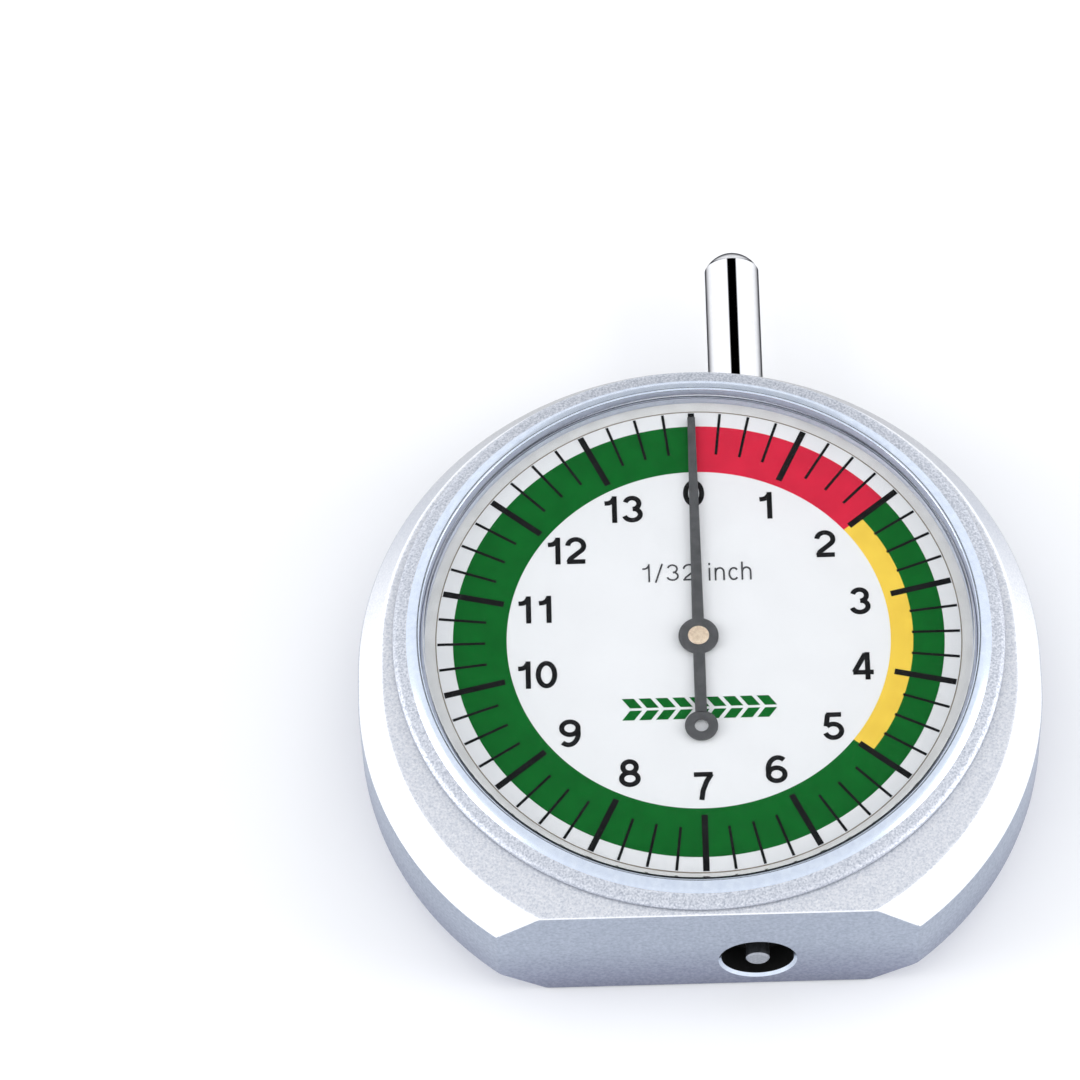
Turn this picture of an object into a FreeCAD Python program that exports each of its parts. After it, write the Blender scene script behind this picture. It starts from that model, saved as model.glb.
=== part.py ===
import FreeCAD, Part
import math
import os

# Dial tire tread gauge, lying on its back. Millimetres.
# +X to the right of the dial, +Y towards the push rod, +Z out of the dial.
# The origin is on the dial axis, in the plane of the back face.

os.makedirs("parts", exist_ok=True)
V = FreeCAD.Vector
X_AXIS = V(1, 0, 0)
Y_AXIS = V(0, 1, 0)
Z_AXIS = V(0, 0, 1)

# ---- reading: 14 thirty-seconds of an inch make one turn of the pointer
RACK_PITCH = 25.4 / 32.0
PINION_TEETH = 14
TRAVEL = RACK_PITCH * PINION_TEETH

# ---- housing
BODY_R = 29.0
BASE_Y = -26.3
BODY_UPPER_Y = -0.9
BODY_LOWER_Y = -3.3
FACE_Z = 13.0
FRONT_CHAMFER_R = 2.1
FRONT_CHAMFER_Z = 3.2
BACK_CHAMFER_R = 2.3
BACK_CHAMFER_Z = 3.0
FLOOR_Z = 1.4
LEDGE_DEPTH = 1.0
BASE_HOLE_R = 3.05
BASE_HOLE_DEPTH = 2.5
BASE_HOLE_EDGE = 0.25

# ---- bezel ring, dial and crystal
RING_BORE_R = 23.6
LIP_R = RING_BORE_R + 0.15
SKIRT_R = RING_BORE_R + 1.0
BEVEL_FOOT_R = RING_BORE_R + 1.1
RING_FOOT_R = RING_BORE_R + 2.3
RING_SHOULDER_UP = 0.45
BEVEL_FOOT_UP = 0.9
LIP_TOP_UP = 1.4
RING_UNDERCUT = 0.14
RING_EDGE_R = 0.25
RING_EDGE_Z = 0.2
SKIRT_GAP = 0.05
DIAL_THICK = 0.4
DIAL_R = SKIRT_R - 0.1
DIAL_HOLE_R = 1.1
CRYSTAL_THICK = 0.95
CRYSTAL_EDGE = 0.12
SPACER_THICK = 0.75
SPACER_INNER_R = RING_BORE_R - 0.45
SEAT_GAP = 0.05
DIAL_PIN_R = 0.35
DIAL_PIN_AT = RING_BORE_R - 0.5
DIAL_PIN_DEPTH = 1.2
CAVITY_R = RING_BORE_R - 2.1

# ---- plunger line
ROD_R = 2.4
ROD_TO_PITCH_LINE = 2.38
ROD_END_Y = 43.2
ROD_DOME = 1.35
RUN_GAP = 0.04
PROBE_R = 1.0
PROBE_EDGE = 0.15
TENON_R = 0.7
TENON_LENGTH = 3.0
BAR_LOW_Y = -6.4
BAR_HALF_Z = 1.2
BAR_BACK = 2.0
TOOTH_LOW_Y = -2.4
TOOTH_HIGH_Y = TRAVEL - TOOTH_LOW_Y
BAR_HIGH_Y = 15.0
BUSH_WALL = 0.55
ROD_BUSH_R = ROD_R + BUSH_WALL
ROD_BUSH_OUT_Y = 25.6
ROD_BUSH_IN_Y = CAVITY_R - 0.6
PROBE_BUSH_R = PROBE_R + 1.2
PROBE_FLANGE_R = PROBE_BUSH_R + 0.4
PROBE_FLANGE_Y = 0.9 - CAVITY_R
PROBE_FLANGE_THICK = 0.6
STOP_THICK = 0.6
STOP_R = ROD_R + 0.3
STOP_GAP = 0.2
STOP_ROOM = 0.3
STOP_GROOVE_R = ROD_R - 0.35
STOP_MOUTH = 1.6
WASHER_THICK = 0.6
WASHER_R = PROBE_R + 0.7
FLOOR_GAP = 0.35

# ---- springs
COIL_MEAN_R = PROBE_R + 0.45
COIL_WIRE_R = 0.11
COIL_TURNS = 10.0
COIL_SIDES = 6
HAIR_INNER_R = 1.15
HAIR_OUTER_R = 4.3
HAIR_TURNS = 5.5
HAIR_WIDTH = 0.12
HAIR_HEIGHT = 0.35
HAIR_GAP = 0.02
HAIR_REACH = 0.2
STUD_R = 0.45

# ---- movement
MAIN_THICK = 1.0
PLATE_R = 17.0
SLOT_HALF = STOP_R + 0.3
SLOT_START_Y = 3.2
HAIR_UP = 0.5
BRIDGE_UP = 1.2
BRIDGE_THICK = 1.0
BRIDGE_MARGIN = 0.6
PILLARS_AT = ((-10.5, 9.5), (-10.5, -9.5), (12.5, 0.0))
PILLAR_R = 1.7
SCREW_R = 0.8
SCREW_HEAD_R = 1.5
SCREW_HEAD_THICK = 0.7
SCREW_SLOT = 0.3
SCREW_LENGTH = 3.0
ARBOR_R = 0.6
PIVOT_R = 0.3
JOURNAL_R = ARBOR_R - 0.1
BUSH_R = 1.3
PIVOT_GAP = 0.03
ARBOR_SHOULDER_GAP = 0.1
BOSS_R = 0.9
BOSS_UP = 0.55
BOSS_EDGE = 0.08
PINION_HALF = 1.0
PRESSURE_DEG = 20.0
ADDENDUM = 0.8
DEDENDUM = 1.15
BACKLASH = 0.03
GUIDE_HALF_Y = 3.0
GUIDE_GAP = 0.06
GUIDE_LIP = 1.4
GUIDE_LIP_THICK = 0.75
GUIDE_BLOCK = 2.6
GUIDE_SCREW_R = 0.5
GUIDE_SCREW_Y = 1.7

# ---- pointer
POINTER_UP = 0.26
POINTER_THICK = 0.2
POINTER_HUB_R = 1.7
POINTER_TIP = CAVITY_R
POINTER_HALF_HUB = 0.5
POINTER_HALF_TIP = 0.32
TAIL_AT = 8.6
TAIL_R = 1.4
TAIL_HOLE_R = 0.58

# ---- derived
LEDGE_Z = FACE_Z - LEDGE_DEPTH
DIAL_TOP_Z = LEDGE_Z + DIAL_THICK
CRYSTAL_Z = DIAL_TOP_Z + SPACER_THICK
MAIN_TOP_Z = FLOOR_Z + MAIN_THICK
MODULE = RACK_PITCH / math.pi
PITCH_R = MODULE * PINION_TEETH / 2.0
PLUNGER_X = PITCH_R + ROD_TO_PITCH_LINE
PLUNGER_Z = FLOOR_Z + FLOOR_GAP + STOP_R
HAIR_Z = PLUNGER_Z + ROD_R + HAIR_UP
BRIDGE_Z = HAIR_Z + BRIDGE_UP
BRIDGE_TOP_Z = BRIDGE_Z + BRIDGE_THICK
POINTER_Z = DIAL_TOP_Z + POINTER_UP
BOSS_TOP_Z = DIAL_TOP_Z + BOSS_UP


def cyl(r, p, axis, length):
    return Part.makeCylinder(r, length, p, axis)


def save(name, shape):
    shape.exportStep("parts/" + name + ".step")


def plunger_point(y):
    return V(PLUNGER_X, y, PLUNGER_Z)


def ring_of(profile, at_y=0.0):
    # a closed profile of radius and height pairs, turned about an axis along Z
    wire = Part.makePolygon([V(r, at_y, z) for r, z in profile + profile[:1]])
    return Part.Face(wire).revolve(V(0, at_y, 0), Z_AXIS, 360)


def body_profile():
    # half of the body's section, from the axis out, with both chamfers
    return [
        (0, 0),
        (BODY_R - BACK_CHAMFER_R, 0),
        (BODY_R, BACK_CHAMFER_Z),
        (BODY_R, FACE_Z - FRONT_CHAMFER_Z),
        (BODY_R - FRONT_CHAMFER_R, FACE_Z),
        (0, FACE_Z),
    ]


def body_blank():
    # two round halves with short straight flanks between them, then the flat base
    upper = ring_of(body_profile(), BODY_UPPER_Y)
    lower = ring_of(body_profile(), BODY_LOWER_Y)
    half = body_profile()[1:-1]
    section = half + [(-r, z) for r, z in reversed(half)]
    wire = Part.makePolygon([V(r, BODY_LOWER_Y, z) for r, z in section + section[:1]])
    flanks = Part.Face(wire).extrude(V(0, BODY_UPPER_Y - BODY_LOWER_Y, 0))
    blank = upper.fuse([lower, flanks])
    below = Part.makeBox(4 * BODY_R, BODY_R, 4 * FACE_Z, V(-2 * BODY_R, BASE_Y - BODY_R, -FACE_Z))
    return blank.cut(below).removeSplitter()


def case_body():
    body = body_blank()
    body = body.cut(cyl(CAVITY_R, V(0, 0, FLOOR_Z), Z_AXIS, FACE_Z))
    body = body.cut(cyl(SKIRT_R + SKIRT_GAP, V(0, 0, LEDGE_Z), Z_AXIS, FACE_Z))
    rod_hole = cyl(ROD_BUSH_R, plunger_point(ROD_BUSH_IN_Y - 0.6), Y_AXIS, BODY_R)
    mouth = cyl(BASE_HOLE_R, plunger_point(BASE_Y), Y_AXIS, BASE_HOLE_DEPTH)
    edge_r = BASE_HOLE_R + BASE_HOLE_EDGE
    edge = Part.makeCone(edge_r, BASE_HOLE_R, BASE_HOLE_EDGE, plunger_point(BASE_Y), Y_AXIS)
    bush_hole = cyl(PROBE_BUSH_R, plunger_point(BASE_Y), Y_AXIS, PROBE_FLANGE_Y - BASE_Y)
    flange_y = PROBE_FLANGE_Y - PROBE_FLANGE_THICK
    flange_room = cyl(PROBE_FLANGE_R + SEAT_GAP, plunger_point(flange_y), Y_AXIS, 2 * PROBE_FLANGE_THICK)
    stop_y = ROD_BUSH_IN_Y - 2 * STOP_THICK
    stop_room = cyl(STOP_R + STOP_ROOM, plunger_point(stop_y), Y_AXIS, 2 * STOP_THICK)
    body = body.cut(rod_hole).cut(stop_room).cut(mouth).cut(edge).cut(bush_hole).cut(flange_room)
    for x, y in PILLARS_AT:
        body = body.cut(cyl(SCREW_R + SEAT_GAP, V(x, y, 0), Z_AXIS, FLOOR_Z))
        head_r = SCREW_HEAD_R + SEAT_GAP
        body = body.cut(Part.makeCone(head_r, SCREW_R + SEAT_GAP, SCREW_HEAD_THICK, V(x, y, 0), Z_AXIS))
    pin_z = LEDGE_Z - DIAL_PIN_DEPTH
    for side in (-1, 1):
        body = body.cut(cyl(DIAL_PIN_R, V(side * DIAL_PIN_AT, 0, pin_z), Z_AXIS, DIAL_PIN_DEPTH))
    return body


def bezel_ring():
    return ring_of([
        (RING_BORE_R, DIAL_TOP_Z),
        (SKIRT_R, DIAL_TOP_Z),
        (SKIRT_R, FACE_Z),
        (RING_FOOT_R - RING_UNDERCUT, FACE_Z),
        (RING_FOOT_R, FACE_Z + RING_UNDERCUT),
        (RING_FOOT_R, FACE_Z + RING_SHOULDER_UP),
        (RING_FOOT_R - RING_EDGE_R, FACE_Z + RING_SHOULDER_UP + RING_EDGE_Z),
        (BEVEL_FOOT_R, FACE_Z + BEVEL_FOOT_UP),
        (LIP_R, FACE_Z + LIP_TOP_UP),
        (RING_BORE_R, FACE_Z + LIP_TOP_UP - SEAT_GAP),
    ])


def crystal():
    r = RING_BORE_R - SEAT_GAP
    top = CRYSTAL_Z + CRYSTAL_THICK
    return ring_of([
        (0, CRYSTAL_Z),
        (r, CRYSTAL_Z),
        (r, top - CRYSTAL_EDGE),
        (r - CRYSTAL_EDGE, top),
        (0, top),
    ])


def crystal_spacer():
    r = RING_BORE_R - SEAT_GAP
    return ring_of([
        (SPACER_INNER_R, DIAL_TOP_Z),
        (r, DIAL_TOP_Z),
        (r, CRYSTAL_Z),
        (SPACER_INNER_R, CRYSTAL_Z),
    ])


def dial_plate():
    plate = cyl(DIAL_R, V(0, 0, LEDGE_Z), Z_AXIS, DIAL_THICK)
    plate = plate.cut(cyl(DIAL_HOLE_R, V(0, 0, LEDGE_Z), Z_AXIS, DIAL_THICK))
    return plate


def dial_pins():
    length = DIAL_PIN_DEPTH - SEAT_GAP
    return [cyl(DIAL_PIN_R, V(s * DIAL_PIN_AT, 0, LEDGE_Z - length), Z_AXIS, length) for s in (-1, 1)]


def main_plate():
    plate = cyl(PLATE_R, V(0, 0, FLOOR_Z), Z_AXIS, MAIN_THICK)
    corner = V(PLUNGER_X - SLOT_HALF, SLOT_START_Y, FLOOR_Z)
    slot = Part.makeBox(2 * SLOT_HALF, PLATE_R, MAIN_THICK, corner)
    plate = plate.cut(slot).cut(cyl(BUSH_R, V(0, 0, FLOOR_Z), Z_AXIS, MAIN_THICK))
    for x, y in PILLARS_AT:
        plate = plate.cut(cyl(SCREW_R + SEAT_GAP, V(x, y, FLOOR_Z), Z_AXIS, MAIN_THICK))
    for y in (-GUIDE_SCREW_Y, GUIDE_SCREW_Y):
        plate = plate.cut(cyl(GUIDE_SCREW_R, V(guide_screw_x(), y, FLOOR_Z), Z_AXIS, MAIN_THICK))
    return plate


def top_bridge():
    reach = max(math.hypot(x, y) for x, y in PILLARS_AT) + PILLAR_R + BRIDGE_MARGIN
    plate = cyl(reach, V(0, 0, BRIDGE_Z), Z_AXIS, BRIDGE_THICK)
    for x, y in PILLARS_AT:
        plate = plate.cut(cyl(SCREW_R + SEAT_GAP, V(x, y, BRIDGE_Z), Z_AXIS, BRIDGE_THICK))
    plate = plate.cut(cyl(BUSH_R, V(0, 0, BRIDGE_Z), Z_AXIS, BRIDGE_THICK))
    plate = plate.cut(cyl(STUD_R, V(*stud_xy(), BRIDGE_Z), Z_AXIS, BRIDGE_THICK))
    return plate


def pillars():
    posts = []
    for x, y in PILLARS_AT:
        post = cyl(PILLAR_R, V(x, y, MAIN_TOP_Z), Z_AXIS, BRIDGE_Z - MAIN_TOP_Z)
        post = post.cut(cyl(SCREW_R, V(x, y, MAIN_TOP_Z), Z_AXIS, BRIDGE_Z - MAIN_TOP_Z))
        posts.append(post)
    return posts


def slotted(screw, x, y, z, up, head_r):
    depth = SCREW_HEAD_THICK / 2.0
    low = z - depth if up else z
    slot = Part.makeBox(2 * head_r, SCREW_SLOT, depth, V(x - head_r, y - SCREW_SLOT / 2.0, low))
    return screw.cut(slot)


def bridge_screws():
    screws = []
    for x, y in PILLARS_AT:
        shank = cyl(SCREW_R, V(x, y, BRIDGE_TOP_Z - SCREW_LENGTH), Z_AXIS, SCREW_LENGTH)
        head = cyl(SCREW_HEAD_R, V(x, y, BRIDGE_TOP_Z), Z_AXIS, SCREW_HEAD_THICK)
        top = BRIDGE_TOP_Z + SCREW_HEAD_THICK
        screws.append(slotted(shank.fuse(head).removeSplitter(), x, y, top, True, SCREW_HEAD_R))
    return screws


def back_screws():
    screws = []
    length = MAIN_TOP_Z + SCREW_LENGTH - BRIDGE_THICK
    for x, y in PILLARS_AT:
        shank = cyl(SCREW_R, V(x, y, 0), Z_AXIS, length)
        head = Part.makeCone(SCREW_HEAD_R, SCREW_R, SCREW_HEAD_THICK, V(x, y, 0), Z_AXIS)
        screws.append(slotted(shank.fuse(head).removeSplitter(), x, y, 0, False, SCREW_HEAD_R))
    return screws


def bush(z, length, hole_r):
    sleeve = cyl(BUSH_R, V(0, 0, z), Z_AXIS, length)
    return sleeve.cut(cyl(hole_r + PIVOT_GAP, V(0, 0, z), Z_AXIS, length))


def arbor():
    foot = MAIN_TOP_Z + ARBOR_SHOULDER_GAP
    shoulder = BRIDGE_Z - ARBOR_SHOULDER_GAP
    pivot = cyl(PIVOT_R, V(0, 0, FLOOR_Z + ARBOR_SHOULDER_GAP), Z_AXIS, foot - FLOOR_Z)
    body = cyl(ARBOR_R, V(0, 0, foot), Z_AXIS, shoulder - foot)
    top = cyl(JOURNAL_R, V(0, 0, shoulder), Z_AXIS, BOSS_TOP_Z - POINTER_THICK - shoulder)
    return pivot.fuse([body, top]).removeSplitter()


def pointer_boss():
    low = DIAL_TOP_Z - DIAL_THICK
    boss = cyl(BOSS_R, V(0, 0, low), Z_AXIS, BOSS_TOP_Z - low)
    rim = [e for e in boss.Edges if abs(e.BoundBox.ZMin - BOSS_TOP_Z) < 1e-4]
    boss = boss.makeChamfer(BOSS_EDGE, rim)
    return boss.cut(cyl(JOURNAL_R, V(0, 0, low), Z_AXIS, BOSS_TOP_Z - POINTER_THICK - low))


def pointer():
    hub = cyl(POINTER_HUB_R, V(0, 0, POINTER_Z), Z_AXIS, POINTER_THICK)
    tail = cyl(TAIL_R, V(0, -TAIL_AT, POINTER_Z), Z_AXIS, POINTER_THICK)
    corners = [
        V(-POINTER_HALF_HUB, -TAIL_AT, POINTER_Z),
        V(POINTER_HALF_HUB, -TAIL_AT, POINTER_Z),
        V(POINTER_HALF_HUB, 0, POINTER_Z),
        V(POINTER_HALF_TIP, POINTER_TIP, POINTER_Z),
        V(-POINTER_HALF_TIP, POINTER_TIP, POINTER_Z),
        V(-POINTER_HALF_HUB, 0, POINTER_Z),
    ]
    bar = Part.Face(Part.makePolygon(corners + corners[:1])).extrude(V(0, 0, POINTER_THICK))
    needle = hub.fuse([tail, bar])
    needle = needle.cut(cyl(TAIL_HOLE_R, V(0, -TAIL_AT, POINTER_Z), Z_AXIS, POINTER_THICK))
    return needle.cut(cyl(BOSS_R, V(0, 0, POINTER_Z), Z_AXIS, POINTER_THICK)).removeSplitter()


def involute_half(r):
    # angle from the tooth's centre line to its flank, at radius r
    flank = math.radians(PRESSURE_DEG)
    base = PITCH_R * math.cos(flank)
    at_pitch = math.pi / 2.0 / PINION_TEETH - BACKLASH / 2.0 / PITCH_R
    here = math.acos(base / max(r, base))
    return at_pitch + (math.tan(flank) - flank) - (math.tan(here) - here)


def pinion():
    tip = PITCH_R + ADDENDUM * MODULE
    root = PITCH_R - DEDENDUM * MODULE
    low_z = PLUNGER_Z - PINION_HALF
    steps = 5
    radii = [root + (tip - root) * i / steps for i in range(steps + 1)]
    points = []
    for tooth in range(PINION_TEETH):
        centre = 2.0 * math.pi * (tooth + 0.5) / PINION_TEETH
        rising = [(r, centre - involute_half(r)) for r in radii]
        falling = [(r, centre + involute_half(r)) for r in reversed(radii)]
        points += [V(r * math.cos(a), r * math.sin(a), low_z) for r, a in rising + falling]
    gear = Part.Face(Part.makePolygon(points + points[:1])).extrude(V(0, 0, 2 * PINION_HALF))
    return gear.cut(cyl(ARBOR_R, V(0, 0, PLUNGER_Z - PINION_HALF), Z_AXIS, 2 * PINION_HALF))


def rack_bar():
    # a tooth of the rack lies at Y = 0, in a gap of the pinion
    slope = math.tan(math.radians(PRESSURE_DEG))
    tip_x = PITCH_R - ADDENDUM * MODULE
    root_x = PITCH_R + DEDENDUM * MODULE
    half_pitch = RACK_PITCH / 4.0 - BACKLASH / 2.0
    half_tip = half_pitch - ADDENDUM * MODULE * slope
    half_root = half_pitch + DEDENDUM * MODULE * slope
    low_z = PLUNGER_Z - BAR_HALF_Z
    last = int(TOOTH_HIGH_Y / RACK_PITCH)
    first = int(TOOTH_LOW_Y / RACK_PITCH)
    points = [V(root_x, BAR_LOW_Y, low_z)]
    for i in range(first, last + 1):
        y = i * RACK_PITCH
        points += [V(root_x, y - half_root, low_z), V(tip_x, y - half_tip, low_z)]
        points += [V(tip_x, y + half_tip, low_z), V(root_x, y + half_root, low_z)]
    points += [V(root_x, BAR_HIGH_Y, low_z)]
    points += [V(PLUNGER_X + BAR_BACK, BAR_HIGH_Y, low_z), V(PLUNGER_X + BAR_BACK, BAR_LOW_Y, low_z)]
    bar = Part.Face(Part.makePolygon(points + points[:1])).extrude(V(0, 0, 2 * BAR_HALF_Z))
    bar = bar.cut(cyl(TENON_R, plunger_point(BAR_HIGH_Y - TENON_LENGTH), Y_AXIS, TENON_LENGTH))
    return bar.cut(cyl(TENON_R, plunger_point(BAR_LOW_Y), Y_AXIS, TENON_LENGTH))


def push_rod():
    rod = cyl(ROD_R, plunger_point(BAR_HIGH_Y), Y_AXIS, ROD_END_Y - BAR_HIGH_Y)
    rod = rod.makeFillet(ROD_DOME, [e for e in rod.Edges if e.BoundBox.YMin > ROD_END_Y - 0.01])
    groove_y = ROD_BUSH_IN_Y - STOP_GAP - STOP_THICK
    groove = cyl(ROD_R + 1.0, plunger_point(groove_y), Y_AXIS, STOP_THICK)
    groove = groove.cut(cyl(STOP_GROOVE_R, plunger_point(groove_y), Y_AXIS, STOP_THICK))
    tenon = cyl(TENON_R, plunger_point(BAR_HIGH_Y - TENON_LENGTH), Y_AXIS, TENON_LENGTH)
    return rod.cut(groove).fuse(tenon).removeSplitter()


def stop_ring():
    low = ROD_BUSH_IN_Y - STOP_GAP - STOP_THICK
    disc = cyl(STOP_R, plunger_point(low), Y_AXIS, STOP_THICK)
    disc = disc.cut(cyl(STOP_GROOVE_R, plunger_point(low), Y_AXIS, STOP_THICK))
    width = STOP_MOUTH * STOP_GROOVE_R
    mouth = Part.makeBox(STOP_R, STOP_THICK, width, V(PLUNGER_X, low, PLUNGER_Z - width / 2.0))
    return disc.cut(mouth)


def probe_pin():
    top = BAR_LOW_Y
    pin = cyl(PROBE_R, plunger_point(BASE_Y), Y_AXIS, top - BASE_Y)
    pin = pin.makeChamfer(PROBE_EDGE, [e for e in pin.Edges if e.BoundBox.YMax < BASE_Y + 0.01])
    return pin.fuse(cyl(TENON_R, plunger_point(top), Y_AXIS, TENON_LENGTH - SEAT_GAP)).removeSplitter()


def spring_washer():
    low = BAR_LOW_Y - WASHER_THICK
    disc = cyl(WASHER_R, plunger_point(low), Y_AXIS, WASHER_THICK)
    return disc.cut(cyl(PROBE_R, plunger_point(low), Y_AXIS, WASHER_THICK))


def rod_bush():
    length = ROD_BUSH_OUT_Y - ROD_BUSH_IN_Y
    sleeve = cyl(ROD_BUSH_R, plunger_point(ROD_BUSH_IN_Y), Y_AXIS, length)
    return sleeve.cut(cyl(ROD_R + RUN_GAP, plunger_point(ROD_BUSH_IN_Y), Y_AXIS, length))


def probe_bush():
    out_y = BASE_Y + BASE_HOLE_DEPTH
    sleeve = cyl(PROBE_BUSH_R, plunger_point(out_y), Y_AXIS, PROBE_FLANGE_Y - out_y)
    flange_y = PROBE_FLANGE_Y - PROBE_FLANGE_THICK
    flange = cyl(PROBE_FLANGE_R, plunger_point(flange_y), Y_AXIS, PROBE_FLANGE_THICK)
    whole = sleeve.fuse(flange).removeSplitter()
    return whole.cut(cyl(PROBE_R + RUN_GAP, plunger_point(out_y), Y_AXIS, PROBE_FLANGE_Y - out_y))


def return_spring():
    # the wire's section is a polygon, because so thin a round wire meshes badly
    low = PROBE_FLANGE_Y + COIL_WIRE_R + RUN_GAP
    high = BAR_LOW_Y - WASHER_THICK - COIL_WIRE_R - RUN_GAP
    helix = Part.makeHelix((high - low) / COIL_TURNS, high - low, COIL_MEAN_R)
    corners = []
    for i in range(COIL_SIDES):
        a = 2.0 * math.pi * i / COIL_SIDES
        corners.append(V(COIL_MEAN_R + COIL_WIRE_R * math.cos(a), 0, COIL_WIRE_R * math.sin(a)))
    section = Part.makePolygon(corners + corners[:1])
    coil = Part.Wire(helix).makePipeShell([section], True, True)
    coil.rotate(V(0, 0, 0), X_AXIS, -90)
    coil.translate(V(PLUNGER_X, low, PLUNGER_Z))
    return coil


def guide_screw_x():
    return PLUNGER_X + BAR_BACK + GUIDE_GAP + GUIDE_BLOCK / 2.0


def rack_guide():
    back_x = PLUNGER_X + BAR_BACK + GUIDE_GAP
    top = PLUNGER_Z + BAR_HALF_Z + GUIDE_GAP + GUIDE_LIP_THICK
    block = Part.makeBox(
        GUIDE_LIP + GUIDE_BLOCK, 2 * GUIDE_HALF_Y, top - MAIN_TOP_Z,
        V(back_x - GUIDE_LIP, -GUIDE_HALF_Y, MAIN_TOP_Z))
    channel = Part.makeBox(
        GUIDE_LIP, 2 * GUIDE_HALF_Y, 2 * (BAR_HALF_Z + GUIDE_GAP),
        V(back_x - GUIDE_LIP, -GUIDE_HALF_Y, PLUNGER_Z - BAR_HALF_Z - GUIDE_GAP))
    block = block.cut(channel)
    for y in (-GUIDE_SCREW_Y, GUIDE_SCREW_Y):
        block = block.cut(cyl(GUIDE_SCREW_R, V(guide_screw_x(), y, MAIN_TOP_Z), Z_AXIS, top))
    return block


def guide_screws():
    top = PLUNGER_Z + BAR_HALF_Z + GUIDE_GAP + GUIDE_LIP_THICK
    screws = []
    for y in (-GUIDE_SCREW_Y, GUIDE_SCREW_Y):
        shank = cyl(GUIDE_SCREW_R, V(guide_screw_x(), y, FLOOR_Z), Z_AXIS, top - FLOOR_Z)
        head = cyl(2 * GUIDE_SCREW_R, V(guide_screw_x(), y, top), Z_AXIS, SCREW_HEAD_THICK)
        screw = shank.fuse(head).removeSplitter()
        screws.append(slotted(screw, guide_screw_x(), y, top + SCREW_HEAD_THICK, True, 2 * GUIDE_SCREW_R))
    return screws


def spiral_point(turn, offset):
    r = HAIR_INNER_R + (HAIR_OUTER_R - HAIR_INNER_R) * turn / HAIR_TURNS + offset
    a = 2.0 * math.pi * turn
    return V(r * math.cos(a), r * math.sin(a), HAIR_Z)


def hairspring():
    steps = int(HAIR_TURNS * 24)
    turns = [HAIR_TURNS * i / steps for i in range(steps + 1)]
    outer = [spiral_point(t, HAIR_WIDTH / 2.0) for t in turns]
    inner = [spiral_point(t, -HAIR_WIDTH / 2.0) for t in reversed(turns)]
    points = outer + inner
    return Part.Face(Part.makePolygon(points + points[:1])).extrude(V(0, 0, HAIR_HEIGHT))


def hairspring_collet():
    foot = V(0, 0, HAIR_Z - HAIR_REACH / 2.0)
    length = HAIR_HEIGHT + HAIR_REACH
    collar = cyl(HAIR_INNER_R - HAIR_WIDTH / 2.0 - HAIR_GAP, foot, Z_AXIS, length)
    return collar.cut(cyl(ARBOR_R, foot, Z_AXIS, length))


def stud_xy():
    end = spiral_point(HAIR_TURNS, 0)
    out = HAIR_OUTER_R + HAIR_WIDTH / 2.0 + STUD_R + HAIR_GAP
    return end.x / HAIR_OUTER_R * out, end.y / HAIR_OUTER_R * out


def hairspring_stud():
    low = HAIR_Z - HAIR_REACH
    return cyl(STUD_R, V(*stud_xy(), low), Z_AXIS, BRIDGE_TOP_Z - low)


def group(solids):
    return Part.Compound(solids)


save("case_body", case_body())
save("bezel_ring", bezel_ring())
save("crystal", crystal())
save("crystal_spacer", crystal_spacer())
save("dial_plate", dial_plate())
save("dial_pins", group(dial_pins()))
save("main_plate", main_plate())
save("top_bridge", top_bridge())
save("pillars", group(pillars()))
save("bridge_screws", group(bridge_screws()))
save("back_screws", group(back_screws()))
save("foot_bush", bush(FLOOR_Z, MAIN_THICK, PIVOT_R))
save("bridge_bush", bush(BRIDGE_Z, BRIDGE_THICK, JOURNAL_R))
save("arbor", arbor())
save("pinion", pinion())
save("pointer", pointer())
save("pointer_boss", pointer_boss())
save("push_rod", push_rod())
save("rack_bar", rack_bar())
save("probe_pin", probe_pin())
save("stop_ring", stop_ring())
save("spring_washer", spring_washer())
save("rod_bush", rod_bush())
save("probe_bush", probe_bush())
save("return_spring", return_spring())
save("rack_guide", rack_guide())
save("guide_screws", group(guide_screws()))
save("hairspring", hairspring())
save("hairspring_collet", hairspring_collet())
save("hairspring_stud", hairspring_stud())
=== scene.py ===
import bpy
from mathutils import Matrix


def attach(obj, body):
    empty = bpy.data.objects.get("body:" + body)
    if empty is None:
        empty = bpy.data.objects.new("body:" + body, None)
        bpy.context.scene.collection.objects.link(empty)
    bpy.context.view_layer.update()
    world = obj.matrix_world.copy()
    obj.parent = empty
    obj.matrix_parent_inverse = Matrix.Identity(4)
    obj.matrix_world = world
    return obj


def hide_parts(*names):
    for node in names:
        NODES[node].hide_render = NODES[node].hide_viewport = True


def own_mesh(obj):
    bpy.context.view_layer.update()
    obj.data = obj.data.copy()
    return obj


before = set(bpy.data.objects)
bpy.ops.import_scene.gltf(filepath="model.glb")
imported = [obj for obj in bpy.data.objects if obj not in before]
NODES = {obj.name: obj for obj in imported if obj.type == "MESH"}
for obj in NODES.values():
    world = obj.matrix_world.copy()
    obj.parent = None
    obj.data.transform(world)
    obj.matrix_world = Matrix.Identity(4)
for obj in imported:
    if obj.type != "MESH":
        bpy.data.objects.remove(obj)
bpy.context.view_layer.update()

import math

import bmesh
import bpy
from mathutils import Matrix, Vector

MM = 0.001

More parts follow.
